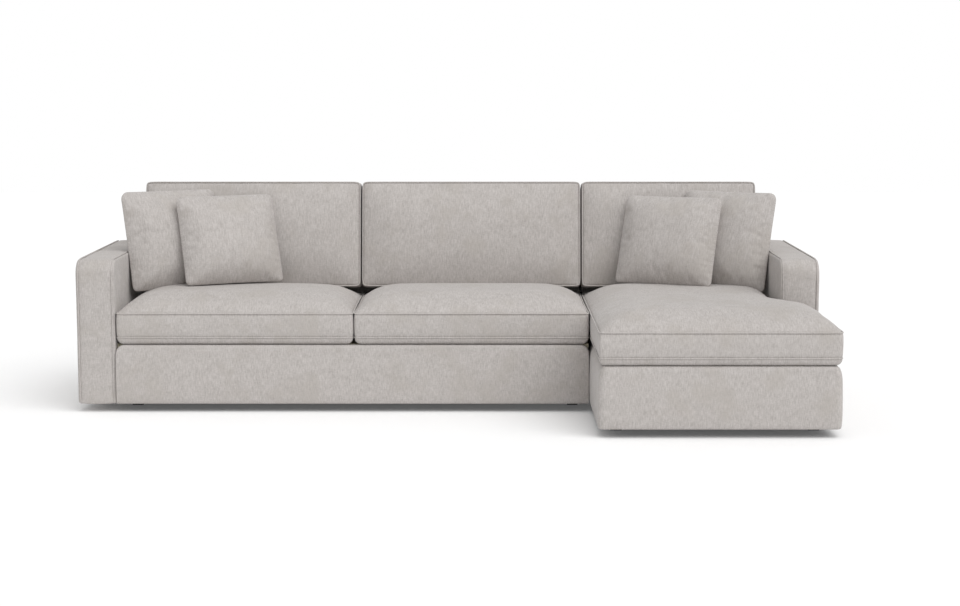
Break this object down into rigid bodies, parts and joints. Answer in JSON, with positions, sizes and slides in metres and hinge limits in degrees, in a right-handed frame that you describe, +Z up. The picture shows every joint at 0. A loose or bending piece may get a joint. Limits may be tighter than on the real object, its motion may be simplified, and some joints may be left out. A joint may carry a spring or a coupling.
{
  "type": "sectional sofa",
  "caption": "Low sectional sofa with a chaise end, square arms, boxed seat and back cushions with piped edges, and loose square pillows, in woven fabric.",
  "frame": {"origin": "on the floor, at the middle of the overall width and depth", "axes": "+X to the viewer's right along the back, +Y from the chaise toe to the back, +Z up"},
  "size_m": [3.07, 1.535, 0.9077],
  "materials": {
    "upholstery": "heathered woven",
    "frame_wood": "planed softwood",
    "panel_board": "plywood",
    "webbing": "woven strap",
    "foam": "open-cell foam",
    "fibre": "polyester fibre in a liner",
    "dust_cloth": "non-woven cloth",
    "foot_plastic": "matt",
    "steel": "zinc-plated"
  },
  "bodies": {
    "frame": {"arm_bolts": "steel", "arm_panels": "panel_board", "arm_posts": "frame_wood", "arm_top_boards": "frame_wood", "chaise_arm_rail": "frame_wood", "chaise_back_cover": "upholstery", "chaise_back_posts": "frame_wood", "chaise_back_top_rail": "frame_wood", "chaise_back_webbing": "webbing", "chaise_base_cover": "upholstery", "chaise_cross_rail": "frame_wood", "chaise_deck_pad": "foam", "chaise_dust_cover": "dust_cloth", "chaise_front_rail": "frame_wood", "chaise_left_rail": "frame_wood", "chaise_rear_rail": "frame_wood", "chaise_seat_webbing": "webbing", "chaise_step_rail": "frame_wood", "chaise_toe_side_rail": "frame_wood", "connector_brackets": "steel", "connector_screws": "steel", "connector_tongues": "steel", "feet": "foot_plastic", "foot_blocks": "frame_wood", "foot_bolts": "steel", "left_arm_cover": "upholstery", "right_arm_cover": "upholstery", "sofa_back_cover": "upholstery", "sofa_back_posts": "frame_wood", "sofa_back_top_rail": "frame_wood", "sofa_back_webbing": "webbing", "sofa_base_cover": "upholstery", "sofa_cross_rails": "frame_wood", "sofa_deck_pad": "foam", "sofa_dust_cover": "dust_cloth", "sofa_end_rails": "frame_wood", "sofa_front_rail": "frame_wood", "sofa_rear_rail": "frame_wood", "sofa_seat_webbing": "webbing"},
    "seat_left": {"seat_left_cover": "upholstery", "seat_left_core": "foam"},
    "seat_middle": {"seat_middle_cover": "upholstery", "seat_middle_core": "foam"},
    "seat_chaise": {"seat_chaise_cover": "upholstery", "seat_chaise_core": "foam"},
    "back_left": {"back_left_cover": "upholstery", "back_left_insert": "fibre"},
    "back_middle": {"back_middle_cover": "upholstery", "back_middle_insert": "fibre"},
    "back_right": {"back_right_cover": "upholstery", "back_right_insert": "fibre"},
    "pillow_left_rear": {"pillow_left_rear_cover": "upholstery", "pillow_left_rear_insert": "fibre"},
    "pillow_left_front": {"pillow_left_front_cover": "upholstery", "pillow_left_front_insert": "fibre"},
    "pillow_right_front": {"pillow_right_front_cover": "upholstery", "pillow_right_front_insert": "fibre"},
    "pillow_right_rear": {"pillow_right_rear_cover": "upholstery", "pillow_right_rear_insert": "fibre"}
  },
  "joints": [
    {"name": "seat_left_lift", "type": "slide", "parent": "frame", "child": "seat_left", "axis": [0, 0, 1], "range_m": [0, 0.6]},
    {"name": "seat_middle_lift", "type": "slide", "parent": "frame", "child": "seat_middle", "axis": [0, 0, 1], "range_m": [0, 0.6]},
    {"name": "seat_chaise_lift", "type": "slide", "parent": "frame", "child": "seat_chaise", "axis": [0, 0, 1], "range_m": [0, 0.6]},
    {"name": "back_left_lift", "type": "slide", "parent": "seat_left", "child": "back_left", "axis": [0, 0, 1], "range_m": [0, 0.6]},
    {"name": "back_middle_lift", "type": "slide", "parent": "seat_middle", "child": "back_middle", "axis": [0, 0, 1], "range_m": [0, 0.6]},
    {"name": "back_right_lift", "type": "slide", "parent": "seat_chaise", "child": "back_right", "axis": [0, 0, 1], "range_m": [0, 0.6]},
    {"name": "pillow_left_rear_lift", "type": "slide", "parent": "back_left", "child": "pillow_left_rear", "axis": [0, 0, 1], "range_m": [0, 0.6]},
    {"name": "pillow_left_front_lift", "type": "slide", "parent": "pillow_left_rear", "child": "pillow_left_front", "axis": [0, 0, 1], "range_m": [0, 0.6]},
    {"name": "pillow_right_rear_lift", "type": "slide", "parent": "back_right", "child": "pillow_right_rear", "axis": [0, 0, 1], "range_m": [0, 0.6]},
    {"name": "pillow_right_front_lift", "type": "slide", "parent": "pillow_right_rear", "child": "pillow_right_front", "axis": [0, 0, 1], "range_m": [0, 0.6]}
  ]
}
